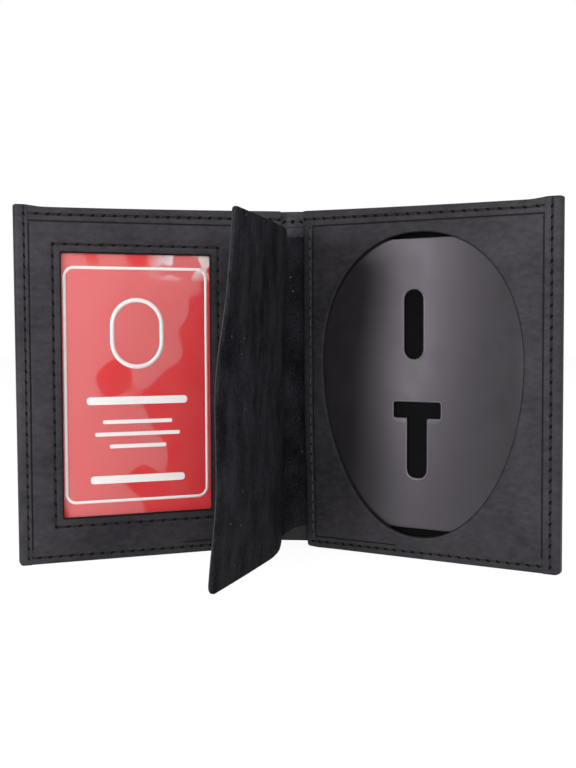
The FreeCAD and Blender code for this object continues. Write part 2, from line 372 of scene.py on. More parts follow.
def fill_grid(ring, grid):
    """The inside of a ring as rows and columns of points."""
    sides, start = [], 0
    for n in counts(grid):
        sides.append(np.roll(ring, -start, axis=0)[: n + 1])
        start += n
    bottom, right, top, left = sides[0], sides[1], sides[2][::-1], sides[3][::-1]
    u = np.linspace(0, 1, len(bottom))[None, :, None]
    v = np.linspace(0, 1, len(right))[:, None, None]
    edges = (1 - v) * bottom[None] + v * top[None] + (1 - u) * left[:, None] + u * right[:, None]
    corners = (1 - u) * (1 - v) * bottom[0] + u * (1 - v) * bottom[-1] + u * v * top[-1] + (1 - u) * v * top[0]
    inside = edges - corners
    inside[0], inside[-1], inside[:, 0], inside[:, -1] = bottom, top, left, right
    return inside


# A sheet's rim: share of its edge length inwards, share of the way from back to front
ROUND_EDGE = (
    (1.0, 0.0), (0.5, 0.02), (0.14, 0.12), (0.0, 0.34), (0.0, 0.66), (0.14, 0.88), (0.5, 0.98), (1.0, 1.0),
)
BACK_STRIPS = 3  # of the rim have the look of the back


def patch_sheet(name, size, radii, front, back, place, materials, edge, grid=GRID):
    """A sheet over a box. front and back give depths at (along, z), and a second look takes the back."""
    radii = np.broadcast_to(radii, 4)

    def outline(d):
        return rect(inset(size, d), [max(r - d, 0.02) for r in radii], grid)

    rings = []
    for inwards, share in ROUND_EDGE:
        ring = outline(inwards * edge)
        f, b = front(ring[:, 0], ring[:, 1]), back(ring[:, 0], ring[:, 1])
        rings.append(at_depth(ring, b + (f - b) * share))
    n = len(rings[0])
    faces = ring_faces(len(rings), n, False)
    indices = [0 if q // n >= BACK_STRIPS else 1 for q in range(len(faces))]
    points = list(np.concatenate(rings))
    inside = fill_grid(outline(edge), grid)
    rows, columns = inside.shape[:2]
    for depth, loop, look in ((back, 0, 1), (front, len(rings) - 1, 0)):
        number = np.full((rows, columns), -1)
        edges = np.split(loop * n + np.arange(n), np.cumsum(counts(grid))[:-1])
        number[0, :-1], number[:-1, -1], number[-1, :0:-1], number[:0:-1, 0] = edges
        number[1:-1, 1:-1] = len(points) + np.arange((rows - 2) * (columns - 2)).reshape(rows - 2, columns - 2)
        points += [np.array((x, float(depth(x, z)), z)) for x, z in inside[1:-1, 1:-1].reshape(-1, 2)]
        for r, c in np.ndindex(rows - 1, columns - 1):
            faces.append((number[r, c], number[r, c + 1], number[r + 1, c + 1], number[r + 1, c]))
            indices.append(look)
    if len(materials) == 1:
        indices = None
    return make_piece(name, place(np.array(points)), faces, materials, indices)


def grid_sheet(name, s, z, middle, thickness, place, materials, lined_from=math.inf):
    """A sheet on a grid of s and z, rounded at its rims except where s starts, in the middle of the spine.

    Its second look takes the back, and also the front from lined_from on.
    """
    s_grid, z_grid = np.meshgrid(s, z)
    radius = thickness / 2
    gaps = [z_grid - z[0], z[-1] - z_grid, s[-1] - s_grid]
    reach = unit(np.min(gaps, axis=0) / radius)
    half = radius * np.maximum(np.sqrt(1 - (1 - reach) ** 2), 0.25)
    base = middle(s_grid, z_grid)
    layers = [np.stack((s_grid, base + sign * half, z_grid), -1) for sign in (-1, 1)]
    rows, columns = s_grid.shape
    n = rows * columns
    faces, indices = [], []
    for layer, r, c in np.ndindex(2, rows - 1, columns - 1):
        a = layer * n + r * columns + c
        faces.append((a, a + 1, a + columns + 1, a + columns))
        indices.append(layer if layer or s[c] < lined_from else 1)
    number = np.arange(n).reshape(rows, columns)
    rim = [*number[0], *number[1:, -1], *number[-1, -2::-1], *number[-2:0:-1, 0]]
    for a, b in zip(rim, rim[1:] + rim[:1]):
        faces.append((a, b, b + n, a + n))
        indices.append(0)
    points = place(np.concatenate([layer.reshape(-1, 3) for layer in layers]))
    return make_piece(name, points, faces, materials, indices, sharp=60)


# A sewing groove's places and drops across a section's front, which starts after the second corner
GROOVE = ((-0.7, 0), (-0.32, 0.06), (0, 0.24), (0.32, 0.06), (0.7, 0))
GROOVE_AFTER = 9
GROOVE_FACES = (GROOVE_AFTER + 2, GROOVE_AFTER + 3)


def sweep_piece(name, section, stations, place, materials, shaded_from=0):
    """A section of (along, depth, z) points at each station, its groove painted with shade by the second look from one
    of them on.
    """
    loops = np.array([section(t) for t in stations])
    count, n = loops.shape[:2]
    faces = tube_faces(count, n)
    in_shade = range(shaded_from * n, (count - 1) * n)
    indices = [1 if q % n in GROOVE_FACES and q in in_shade else 0 for q in range(len(faces))]
    return make_piece(name, place(loops).reshape(-1, 3), faces, materials, indices, sharp=50)


def rounded_section(corners, arc=5):
    """A closed 2D outline with each corner (x, y, radius) rounded."""
    points = []
    for i, (x, y, radius) in enumerate(corners):
        p = np.array((x, y))
        before = np.array(corners[i - 1][:2]) - p
        after = np.array(corners[(i + 1) % len(corners)][:2]) - p
        a = p + before / np.linalg.norm(before) * radius
        b = p + after / np.linalg.norm(after) * radius
        for t in np.linspace(0, 1, arc):
            points.append((1 - t) ** 2 * a + 2 * t * (1 - t) * p + t ** 2 * b)
    return np.array(points)


def seam_line(points, pitch=STITCH_PITCH, hole=1.0, worn=False):
    """A line to sew: (along, depth, z) points, stitch length, size of holes, and whether its thread is painted paler
    as a highlight.
    """
    return np.array(points, float), pitch, hole, worn


def circle(sides):
    return np.arange(sides) / sides * 2 * np.pi


def stitches(name, lines, place, out=-1.0):
    """Sewing along seam lines: raised threads that dive into holes. out is -1 on a front."""
    points, faces, indices = [], [], []
    normal = np.array((0.0, out, 0.0))

    def add(rings, look):
        faces.extend(tube_faces(len(rings), len(rings[0]), len(points)))
        points.extend(point for ring in rings for point in ring)
        indices.extend([look] * (len(faces) - len(indices)))

    for line, pitch, hole, worn in lines:
        run = np.concatenate([[0], np.cumsum(np.linalg.norm(np.diff(line, axis=0), axis=1))])
        number = max(1, round(run[-1] / pitch))
        step = run[-1] / number

        def at(distance):
            return np.array([np.interp(distance, run, line[:, i]) for i in range(3)])

        for q in range(number):
            start, end = at(step * (q + THREAD_GAP)), at(step * (q + (1 - THREAD_GAP)))
            ahead = (end - start) / np.linalg.norm(end - start)
            across = np.cross(ahead, normal)
            slant = across * 0.08 * (-1) ** q
            rings = []
            for t in np.linspace(0, 1, THREAD_RINGS):
                arch = 1 - (2 * t - 1) ** 4
                size = THREAD_RADIUS * (0.55 + 0.45 * arch)
                centre = start + (end - start) * t + slant * (2 * t - 1) + normal * (-0.2 + 0.22 * arch)
                rings.append([
                    centre + across * size * 1.1 * np.cos(a) + normal * size * np.sin(a) for a in circle(THREAD_SIDES)
                ])
            # A paler thread here is a painted highlight
            add(rings, 2 if worn else 0)
        for q in range(number + 1):
            centre = at(step * q)
            ahead = at(min(step * q + 0.2, run[-1])) - at(max(step * q - 0.2, 0))
            ahead = ahead / np.linalg.norm(ahead)
            across = np.cross(ahead, normal)
            rim = [ahead * 1.2 * np.cos(a) + across * (0.85 * np.sin(a) + 0.5 * np.cos(a)) for a in circle(HOLE_SIDES)]
            # The holes take a near-black look as painted shade
            add([[centre + size * hole * way + normal * lift for way in rim] for lift, size in HOLE_RINGS], 1)
    return make_piece(name, place(np.array(points)), faces, [THREAD, HOLE_SHADE, LIT_THREAD], indices)


# Materials. Texture scales are per metre, and bump distances are metres.

class Look:
    """A material with its Principled shader and a few ways to add procedural detail."""

    def __init__(self, name, color, roughness, **sockets):
        self.material = bpy.data.materials.new(name)
        self.material.use_nodes = True
        self.nodes = self.material.node_tree.nodes
        self.shader = self.nodes["Principled BSDF"]
        self.shader.inputs["Base Color"].default_value = (*color, 1)
        self.shader.inputs["Roughness"].default_value = roughness
        for key, value in sockets.items():
            self.shader.inputs[key.replace("_", " ")].default_value = value
        self.place = self.add("ShaderNodeTexCoord").outputs["Object"]

    def add(self, kind, **settings):
        """A new node, with values for its inputs or else its own settings."""
        node = self.nodes.new(kind)
        for key, value in settings.items():
            if key in node.inputs:
                node.inputs[key].default_value = value
            else:
                setattr(node, key, value)
        return node

    def join(self, out, into):
        self.material.node_tree.links.new(out, into)

    def stretched(self, scale, turn=(0, 0, 0)):
        node = self.add("ShaderNodeMapping", Scale=scale, Rotation=turn)
        self.join(self.place, node.inputs["Vector"])
        return node.outputs["Vector"]

    def texture(self, kind, output, vector=None, **settings):
        node = self.add("ShaderNodeTex" + kind, **settings)
        self.join(vector or self.place, node.inputs["Vector"])
        return node.outputs[output]

    def noise(self, scale, detail=3.0, rough=0.55, vector=None):
        return self.texture("Noise", "Fac", vector, Scale=scale, Detail=detail, Roughness=rough)

    def cells(self, scale, feature="F1"):
        return self.texture("Voronoi", "Distance", feature=feature, Scale=scale)

    def wave(self, scale, direction, distortion=0.0):
        bands = {"wave_type": "BANDS", "bands_direction": direction}
        return self.texture("Wave", "Fac", **bands, Scale=scale, Distortion=distortion)

    def math(self, operation, a, b):
        node = self.add("ShaderNodeMath", operation=operation)
        for value, socket in ((a, node.inputs[0]), (b, node.inputs[1])):
            if isinstance(value, (int, float)):
                socket.default_value = value
            else:
                self.join(value, socket)
        return node.outputs[0]

    def weighted(self, a, a_share, b, b_share):
        """The sum of two values, each times its share."""
        return self.math("ADD", self.math("MULTIPLY", a, a_share), self.math("MULTIPLY", b, b_share))

    def ramp(self, fac, low, high, start, end):
        """Low to high as fac goes from start to end."""
        node = self.add("ShaderNodeMapRange")
        for key, value in (("From Min", start), ("From Max", end), ("To Min", low), ("To Max", high)):
            node.inputs[key].default_value = value
        self.join(fac, node.inputs["Value"])
        return node.outputs["Result"]

    def tint(self, fac, first, second, start=0.35, end=0.65):
        node = self.add("ShaderNodeValToRGB")
        for element, position, color in zip(node.color_ramp.elements, (start, end), (first, second)):
            element.position = position
            element.color = (*color, 1)
        self.join(fac, node.inputs["Fac"])
        self.join(node.outputs["Color"], self.shader.inputs["Base Color"])

    def roughen(self, fac, low, high, start=0.3, end=0.7):
        self.join(self.ramp(fac, low, high, start, end), self.shader.inputs["Roughness"])

    def bump(self, height, distance, strength=1.0):
        """A bump on top of those already there."""
        node = self.add("ShaderNodeBump", Strength=strength, Distance=distance)
        self.join(height, node.inputs["Height"])
        used = self.shader.inputs["Normal"].links
        if used:
            self.join(used[0].from_socket, node.inputs["Normal"])
        self.join(node.outputs["Normal"], self.shader.inputs["Normal"])


LEATHER, LIGHT_LEATHER = (0.0155, 0.0143, 0.0167), (0.0385, 0.0358, 0.0411)


def leather(name, rough=(0.48, 0.6), grain=0.00006, color=LEATHER, light=LIGHT_LEATHER, shine=0.18):
    """Pebbled leather with fine streaks. grain is the bump of its pebbles."""
    look = Look(name, color, 0.45, Specular_IOR_Level=shine, Specular_Tint=(0.93, 0.89, 1.0, 1))
    streaks = look.noise(700, 3, 0.6, look.stretched((0.5, 0.5, 1)))
    look.tint(look.weighted(look.noise(55, 4), 0.5, streaks, 0.5), color, light)
    pebble = look.cells(1500, "SMOOTH_F1")
    creases = look.noise(700, 3, 0.6, look.stretched((0.4, 0.4, 1)))
    look.bump(look.noise(150, 3), 0.00022, 0.12)
    look.bump(look.math("ADD", pebble, look.math("MULTIPLY", creases, 0.8)), grain, 0.75)
    look.roughen(look.weighted(pebble, 0.5, look.noise(90, 3), 0.6), *rough)
    return look.material


def suede(name):
    """Napped leather with brushed strokes and specks of lint."""
    look = Look(name, (0.006, 0.0058, 0.0065), 0.95, Specular_IOR_Level=0.06)
    strokes = look.noise(95, 5, 0.65, look.stretched((1.0, 1.0, 0.5), (0.4, 0, 0)))
    nap = look.weighted(strokes, 0.6, look.noise(1400, 3, 0.7), 0.4)
    look.tint(nap, (0.0038, 0.0036, 0.0047), (0.026, 0.0248, 0.0315), 0.4, 0.62)
    # A colour mix has its share at 0, its colours at 6 and 7, and its result at 2
    lint = look.add("ShaderNodeMix", data_type="RGBA")
    lint.inputs[7].default_value = (0.15, 0.15, 0.157, 1)
    look.join(look.ramp(look.cells(190), 0.7, 0.0, 0.035, 0.07), lint.inputs[0])
    look.join(look.shader.inputs["Base Color"].links[0].from_socket, lint.inputs[6])
    look.join(lint.outputs[2], look.shader.inputs["Base Color"])
    look.bump(look.noise(2600, 4, 0.7), 0.00012, 0.9)
    look.bump(look.noise(240, 4, 0.6), 0.0002, 0.5)
    look.roughen(look.noise(400, 3), 0.85, 0.98)
    return look.material


# The board's bend, and a second one nearer the fold
BEND_MIDDLE, BEND = 57.0, 2.6
BEND_BACK_FROM, BEND_BACK = 36.0, -2.4


def board(name, color=(0.0062, 0.0057, 0.0066), light=(0.0082, 0.0075, 0.0087)):
    """Smooth coated board that is slightly bent."""
    look = Look(name, color, 0.3, Specular_IOR_Level=0.70, Specular_Tint=(0.97, 0.88, 1.0, 1))
    look.tint(look.noise(45, 3), color, light)
    reach = look.add("ShaderNodeVectorMath", operation="DOT_PRODUCT")
    reach.inputs[1].default_value = (math.cos(FOLD), -math.sin(FOLD), 0)
    look.join(look.place, reach.inputs[0])
    along = reach.outputs["Value"]
    off = look.math("SUBTRACT", along, (BEND_MIDDLE + SPINE) * MM)
    near = look.math("MINIMUM", look.math("SUBTRACT", along, (BEND_BACK_FROM + SPINE) * MM), 0.0)
    off_squared, near_squared = (look.math("MULTIPLY", value, value) for value in (off, near))
    look.bump(look.weighted(off_squared, BEND, near_squared, BEND_BACK), 1.0)
    look.bump(look.noise(60, 3), 0.00015, 0.25)
    look.roughen(look.noise(160, 4), 0.315, 0.38)
    return look.material


def woven(name):
    look = Look(name, (0.004, 0.004, 0.0043), 0.9, Specular_IOR_Level=0.05)
    weave = look.math("MULTIPLY", look.wave(780, "X"), look.wave(900, "Z"))
    patches = look.weighted(weave, 0.5, look.noise(80, 3), 0.5)
    look.tint(patches, (0.0025, 0.0025, 0.0027), (0.006, 0.006, 0.0063), 0.2, 0.7)
    look.bump(weave, 0.00008, 0.8)
    look.roughen(look.noise(300, 2), 0.62, 0.8)
    return look.material


def thread(name, color=(0.012, 0.0115, 0.0128), light=(0.021, 0.0202, 0.0222)):
    look = Look(name, color, 0.6, Specular_IOR_Level=0.25)
    twist = look.wave(1500, "DIAGONAL", 1.0)
    look.tint(look.noise(300, 2), color, light)
    look.bump(twist, 0.00006, 0.8)
    look.roughen(look.noise(500, 2), 0.5, 0.7)
    return look.material


def vinyl(name):
    """Clear film with pale patches, partly haze where it clings and partly a painted reflection, and a painted
    highlight in one corner.
    """
    look = Look(name, (0.95, 0.95, 0.95), 0.12, Specular_IOR_Level=0.22)
    split = look.add("ShaderNodeSeparateXYZ")
    look.join(look.place, split.inputs["Vector"])
    x, z = split.outputs["X"], split.outputs["Z"]
    # More pale film towards the outer side, partly a painted reflection
    lean = look.ramp(x, 0.26, -0.26, -0.066, -0.022)
    cling_and_reflection = look.math("ADD", look.noise(42, 1.5, 0.4, look.stretched((1, 1, 0.8))), lean)
    patch = look.ramp(cling_and_reflection, 0.0, 0.055, 0.49, 0.51)
    # A painted highlight streaked across the top corner by the fold
    corner = look.math("MULTIPLY", look.ramp(z, 0, 1, 0.086, 0.091), look.ramp(x, 0, 1, -0.044, -0.036))
    painted_sheen = look.math("MULTIPLY", corner, look.ramp(look.noise(130, 1), 0.0, 0.4, 0.52, 0.58))
    haze_and_reflection = look.math("ADD", patch, look.ramp(look.noise(120, 3), 0.002, 0.012, 0.35, 0.7))
    look.join(look.math("ADD", haze_and_reflection, painted_sheen), look.shader.inputs["Alpha"])
    look.bump(look.noise(38, 2, 0.45), 0.0011, 0.5)
    look.roughen(look.noise(150, 3), 0.06, 0.16)
    return look.material


def printed(name, color, light):
    look = Look(name, color, 0.55, Specular_IOR_Level=0.15)
    look.tint(look.weighted(look.noise(2400, 2), 0.5, look.noise(40, 2), 0.5), color, light)
    look.bump(look.noise(900, 2), 0.00001, 0.3)
    look.roughen(look.noise(200, 3), 0.5, 0.6)
    return look.material


GRAIN = leather("grain_leather")
EDGE = leather("edge_leather", (0.46, 0.58), 0.00005)
# A darker leather painted into the sewing grooves and the walls of the cut-outs as their shade
SHADE_LEATHER = leather("leather_painted_shade", (0.6, 0.7), 0.00002, (0.007, 0.0065, 0.0075), (0.012, 0.0112, 0.0128), 0.12)
SUEDE = suede("suede")
BOARD = board("plate_board")
# A paler board for the slots' cut edges: partly their raw colour, partly a painted highlight all round them
CUT_EDGE_AND_HIGHLIGHT = board("cut_edge_painted_highlight", (0.072, 0.068, 0.075), (0.096, 0.091, 0.1))
# Woven lining, its colour darkened to stand in for the shade inside the pockets
LINING_AND_SHADE = woven("lining")
THREAD = thread("thread")
# Paler thread, a painted highlight where the fold-side stitches catch the light
LIT_THREAD = thread("worn_thread", (0.044, 0.0422, 0.0468), (0.07, 0.067, 0.0745))
# Near-black stitch holes: the shade inside them is painted
HOLE_SHADE = Look("stitch_hole_painted_shade", (0.004, 0.004, 0.004), 0.9, Specular_IOR_Level=0.1).material
VINYL = vinyl("window_film")
CARD_RED = printed("card", (0.60, 0.034, 0.038), (0.65, 0.039, 0.043))
CARD_WHITE = printed("card_white", (0.80, 0.78, 0.77), (0.86, 0.85, 0.84))


def dress(nodes):
    if nodes:
        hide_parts(*nodes)


def finish_piece(obj, body, slot, *nodes):
    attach(obj, body)
    dress(nodes)


def finish_bent(obj, half, radius, slot, *nodes):
    """Bakes a piece's placement into its mesh and hides its CAD nodes; the fold's two ends are worked out but not
    used.
    """
    start, end = (on_shell(SIDES[half], s, radius, HEIGHT / 2, radius) * MM for s in (0.0, -radius * FOLD))
    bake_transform(obj)
    dress(nodes)


def constant(value):
    return lambda x, z: np.zeros_like(np.asarray(x, float)) + value


def behind(front, distance):
    return lambda x, z: front(x, z) + distance


# Front panels

def panel_outer(d):
    return rect(inset((PANEL_START, PANEL_EDGE, 0, PANEL_TOP), d), PANEL_CORNER)


def window_hole(d):
    """The window's edge, moved outwards by a length."""
    return rect(inset(WINDOW, -d), max(PANEL_CORNER - 0.1 * d, 0.3))


def side_array(values):
    """One value per ring point: bottom, outer, top and fold side."""
    return np.concatenate([np.full(n, v, float) for n, v in zip(counts(GRID), values)])


def foot_fade():
    """How deep the groove over the foot's sewing is at each ring point: it fades out from the fold."""
    foot, *others = counts(GRID)
    return np.concatenate([unit(1 - np.arange(foot) / (0.68 * foot)) ** 0.7, np.zeros(sum(others))])


FADE_SHADED = 0.55  # depth from which that groove is painted with shade


def panel_loops(hole, hems, sewn_hole):
    """A panel's section from its hem over the front to the hole and back, and its strips painted with shade."""
    f, b = PANEL_FRONT, PANEL_BACK
    hem = side_array(hems)
    none, every = (0, 0, 0, 0), (1, 1, 1, 1)
    sewn, foot, top, outer = (1, 1, 1, 0), (1, 0, 0, 0), (0, 0, 1, 1), (0, 1, 0, 0)
    # From the outline inwards: inset, drop behind the front, its sides if not all, the sides painted with shade if any
    front = [
        (0.0, 0.75), (0.08, 0.34), (0.3, 0.09), (0.75, 0.0),
        (1.4, 0.0), (1.78, 0.06, sewn, foot), (2.1, 0.24, sewn, foot), (2.42, 0.06, sewn),
        (2.8, 0.0), (3.55, 0.0, none, top), (3.85, 0.25, top, top), (4.08, 0.0, none, outer),
        (4.35, 0.28, outer, outer), (4.62, 0.0), (5.0, 0.0),
    ]
    # On towards the hole: distance from its edge, drop, the sides painted with shade if any, on the groove and the rim
    # wall
    if sewn_hole:
        rim = [
            (5.0, 0.0), (3.4, 0.0), (2.92, 0.05, every), (WINDOW_SEAM, 0.25, every), (2.28, 0.05),
            (1.8, 0.0), (0.8, -0.03), (0.5, 0.0, every), (0.3, 0.04, every), (0.06, 0.22, every),
            (0.0, 0.5, every),
        ]
    else:
        rim = [
            (1.5, 0.0), (1.0, -0.01), (0.6, 0.0), (0.26, 0.06, every), (0.05, 0.24, every),
            (0.0, 0.45, every),
        ]
    loops, shaded_strips = [], []

    def add(ring, depth, shade=none):
        loops.append(at_depth(ring, depth))
        shaded_strips.append(np.maximum(side_array(shade), foot_fade() > FADE_SHADED if shade == top else 0))

    def between(first, last, depth, shares):
        for t in shares:
            add(first + (last - first) * t, depth)

    add(panel_outer(2.6), hem)
    add(panel_outer(0.3), hem)
    add(panel_outer(0.0), hem - 0.3)
    for d, drop, *sides in front:
        where, shade = (*sides, none, none)[:2]
        deep = side_array(where) if any(where) else 1
        if where == top:
            deep = deep + foot_fade()
        add(panel_outer(d), f + drop * deep, shade)
    between(panel_outer(front[-1][0]), hole(rim[0][0]), f, (0.2, 0.4, 0.6, 0.8))
    for d, drop, *shade in rim:
        add(hole(d), f + drop, *shade)
    add(hole(0.0), b - 0.2)
    add(hole(0.2), b)
    between(hole(1.2), panel_outer(6.0), b, (0.0, 0.35, 0.7, 1.0))
    add(panel_outer(5.5), np.maximum(hem - 0.1, b))
    add(panel_outer(5.3), hem)
    return loops, np.concatenate(shaded_strips)


for half, hole, hems, sewn in (
    ("id", window_hole, (0.6, 0.6, -1.4, 0.6), True),
    ("badge", oval, (0.6, 0.6, 0.6, -0.6), False),
):
    loops, shaded_strips = panel_loops(hole, hems, sewn)
    # The panel's grooves and cut-out rims take the darker leather, a painted shade
    panel = ring_sheet(half + "_panel_leather", loops, SOFT[half], [GRAIN, SHADE_LEATHER], shaded_strips)
    finish_piece(panel, half + "_half", "grain_leather", half + "_panel")


# Turned edges

def rise(along):
    """How far the top edge climbs towards the outer corner."""
    t = unit((along - 77) / 6.5)
    return (SIDE_TOP - HEIGHT) * t ** 2 * (3 - 2 * t)


def grooved(ring, line, deep=1.0):
    """A section with a sewing groove let into its front."""
    start, end = ring[GROOVE_AFTER], ring[GROOVE_AFTER + 1]
    way = (end - start) / np.linalg.norm(end - start)
    share = (line - start[0]) / way[0]
    cut = [start + way * (share + d) + np.array((0, drop * deep)) for d, drop in GROOVE]
    return np.concatenate([ring[: GROOVE_AFTER + 1], cut, ring[GROOVE_AFTER + 1:]])


def side_section(seam, z):
    """Section of the turned outer edge at one height, rounded off at its foot and top."""
    inner = PANEL_EDGE - 0.05
    corners = [
        (LIP_EDGE, LIP_BACK, 0.05), (LIP_EDGE, LIP_FRONT, 0.16), (HALF, LIP_FRONT, 1.5),
        (HALF, COVER_BACK, 1.2), (inner, COVER_BACK, 0.02), (inner, LIP_BACK, 0.1),
    ]
    ring = grooved(rounded_section(corners), seam, unit((z - 1.2) / 0.9))
    height = min(z, SIDE_TOP - z)
    radius = 1.3 if z < HEIGHT / 2 else 0.5
    drawn_in = radius - math.sqrt(max(radius ** 2 - max(radius - height, 0) ** 2, 0))
    along = np.minimum(ring[:, 0], HALF - drawn_in)
    thin = 0.25 * max(0, 1 - height / 0.4)
    depth = ring[:, 1] + thin * np.where(ring[:, 1] < 0, 1, -1)
    fall = (SIDE_TOP - HEIGHT - rise(along)) * unit((z - 98) / 10)
    return np.stack((along, depth, z - fall), -1)


def top_section(along):
    inner = PANEL_TOP - 0.02
    corners = [
        (TOP_LIP_EDGE, LIP_BACK, 0.02), (TOP_LIP_EDGE, TOP_LIP_FRONT, 0.12), (HEIGHT, TOP_LIP_FRONT, 0.5),
        (HEIGHT, PANEL_BACK, 0.25), (inner, PANEL_BACK, 0.02), (inner, LIP_BACK, 0.05),
    ]
    ring = grooved(rounded_section(corners), TOP_SEAM)
    z = ring[:, 0] + rise(along) * unit((ring[:, 0] - 102) / 6)
    return np.stack((np.full(len(ring), along), ring[:, 1], z), -1)


side_foot = [0, 0.1, 0.25, 0.5, 0.9, 1.4, 2.1]
side_head = [107.4, 107.9, 108.2, 108.4, 108.52, SIDE_TOP]
side_stations = np.concatenate([side_foot, np.linspace(4, 104, 26), side_head])
top_stations = np.linspace(PANEL_START, LIP_EDGE, 48)

for half, seam in SIDE_SEAM.items():
    # The sewing grooves take the darker leather as painted shade, on the side edge from above its foot
    looks, shaded_from = [EDGE, SHADE_LEATHER], len(side_foot) - 1
    edge = sweep_piece(
        half + "_side_edge", lambda z: side_section(seam, z), side_stations, SOFT[half], looks, shaded_from,
    )
    finish_piece(edge, half + "_half", "edge_leather", half + "_side_binding")
    strip = sweep_piece(half + "_top_strip", top_section, top_stations, SOFT[half], looks)
    finish_piece(strip, half + "_half", "edge_leather", half + "_top_binding")


# Covers and dividers, which bend round the spine

def gape(s, z):
    """Inner face of the cover: bowed out for bills, less so towards the closed foot."""
    t = unit(s / COVER_SEAM)
    share = 0.04 + 0.96 * (1 - (1 - unit(z / 50)) ** 2)
    chord = COVER_FOOT + (DIVIDER_BACK - COVER_FOOT) * t
    return chord + share * BILL_GAPE * np.maximum(4 * t * (1 - t), 0) ** 1.2


RIM_STEPS = (0, 0.08, 0.25, 0.55)
RIM_WIDTH = 1.2


def sheet_rows(z0, z1, number):
    """A sheet's rows, close together at both rims."""
    inner = np.linspace(z0 + RIM_WIDTH, z1 - RIM_WIDTH, number)
    return np.concatenate([[z0 + d for d in RIM_STEPS], inner, [z1 - d for d in RIM_STEPS[::-1]]])


def sheet_columns(radius):
    """A sheet's columns from the middle of the spine out, close together at the rim."""
    roll = radius * FOLD
    spine = np.linspace(-(roll + SPINE), -roll, 5)[:-1]
    bend = np.linspace(-roll, 0, 9)[:-1]
    out = np.linspace(0, PANEL_EDGE - RIM_WIDTH, 46)
    return np.concatenate([spine, bend, out, [PANEL_EDGE - d for d in RIM_STEPS[::-1]]])


cover_rows, divider_rows = sheet_rows(0, HEIGHT, 34), sheet_rows(0, HEIGHT - 0.1, 30)
cover_middle, divider_middle = behind(gape, COVER_THICK / 2), constant(DIVIDER_MIDDLE)
for half, side in SIDES.items():
    for node, radius, z_rows, middle, thickness, looks, lined_from in (
        ("cover", COVER_ROLL, cover_rows, cover_middle, COVER_THICK, [LINING_AND_SHADE, GRAIN], math.inf),
        ("divider", DIVIDER_ROLL, divider_rows, divider_middle, DIVIDER_THICK, [GRAIN, LINING_AND_SHADE], DIVIDER_SHADE_LINED),
    ):
        def bent(points, side=side, radius=radius):
            s, depth, z = np.moveaxis(points, -1, 0)
            return on_shell(side, s, np.where(s > 0, pinch(depth, s, z, False), depth), z, radius)

        name, s_columns = f"{half}_{node}_skin", sheet_columns(radius)
        skin = grid_sheet(name, s_columns, z_rows, middle, thickness, bent, looks, lined_from)
        nodes = [half + "_" + node] + (["spine_" + node] if half == "badge" else [])
        finish_bent(skin, half, radius, "grain_leather", *nodes)


# The turned top runs on across the spine, on the face of the dividers
for half, side in SIDES.items():
    def bent(points, side=side):
        return on_shell(side, *np.moveaxis(points, -1, 0), DIVIDER_ROLL)

    spine_middle = -(FOLD + SPINE)
    strip = grid_sheet(
        half + "_spine_strip", np.linspace(spine_middle, SPINE_STRIP_END, 18), sheet_rows(HEIGHT - 4.2, HEIGHT, 5),
        lambda s, z: 0.47 + 0.05 * np.sin(2.4 * s), 0.3, bent, [EDGE, EDGE],
    )
    finish_bent(strip, half, DIVIDER_ROLL, "edge_leather")
    seam = [(s, 0.36, TOP_SEAM - 0.4) for s in np.linspace(spine_middle, SPINE_SEAM_END, 12)]
    sewn = stitches(half + "_spine_sewing", [seam_line(seam, TOP_PITCH[half])], bent)
    finish_bent(sewn, half, DIVIDER_ROLL, "edge_leather")


# Window film, card and pocket

def film_front(x, z):
    return PANEL_BACK + 0.06 * np.sin(0.16 * np.asarray(x)) * np.sin(0.11 * np.asarray(z))


film = patch_sheet("id_window_vinyl", FILM, 0.6, film_front, behind(film_front, FILM_THICK), SOFT["id"], [VINYL], 0.12)
finish_piece(film, "id_half", "window_film", "id_window_film")
pocket = patch_sheet(
    "id_pocket_cloth", (*FILM[:3], FILM[3] - 0.4), 0.6, *map(constant, POCKET_DEPTH), SOFT["id"], [LINING_AND_SHADE], 0.1,
)
finish_piece(pocket, "id_half", "lining", "id_card_pocket")
card = patch_sheet("id_card_body", CARD, 3.2, *map(constant, CARD_DEPTH), SOFT["id"], [CARD_RED], 0.15)
finish_piece(card, "card", "card", "id_card")


def print_frame(name, size, radius, line):
    """A printed line round a box."""
    front, back = PRINT_DEPTH
    section = ((0, back), (0, front), (line, front), (line, back))
    loops = [at_depth(rect(inset(size, d), radius - d), depth) for d, depth in section]
    finish_piece(ring_sheet(name, loops, SOFT["id"], [CARD_WHITE]), "card", "card")


print_frame("id_card_border", (WINDOW[0] + 0.6, WINDOW[1] - 0.6, WINDOW[2] + 3.8, WINDOW[3] - 3.8), 3.4, 0.9)
middle_x = (WINDOW[0] + WINDOW[1]) / 2
print_frame("id_card_photo_place", (middle_x - 8.5, middle_x + 8.5, 59.0, 81.0), 8.4, 1.3)
RULES = ((32.0, 48.0, 2.4), (22.0, 42.0, 1.2), (27.0, 38.2, 1.2), (18.0, 34.4, 1.2), (30.0, 23.5, 2.4))
for n, (width, z, tall) in enumerate(RULES):
    size = (middle_x - width / 2, middle_x + width / 2, z, z + tall)
    depths = map(constant, PRINT_DEPTH)
    rule = patch_sheet(
        f"id_card_rule_{n + 1}", size, tall * 0.45, *depths, SOFT["id"], [CARD_WHITE], 0.02, (10, 10, 4),
    )
    finish_piece(rule, "card", "card")


# Badge plate

def plate_front(x, z):
    """The plate's front, which is dished behind the oval."""
    t = unit((np.asarray(x, float) - (OVAL[0] - OVAL[2])) / (2 * OVAL[2]))
    h = unit((np.asarray(z, float) - PLATE[2]) / (PLATE[3] - PLATE[2]))
    return PANEL_BACK + 0.04 + 0.8 * np.sin(np.pi * t) * (0.8 + 0.2 * np.sin(np.pi * h))


# The slots' edges, moved outwards by a length

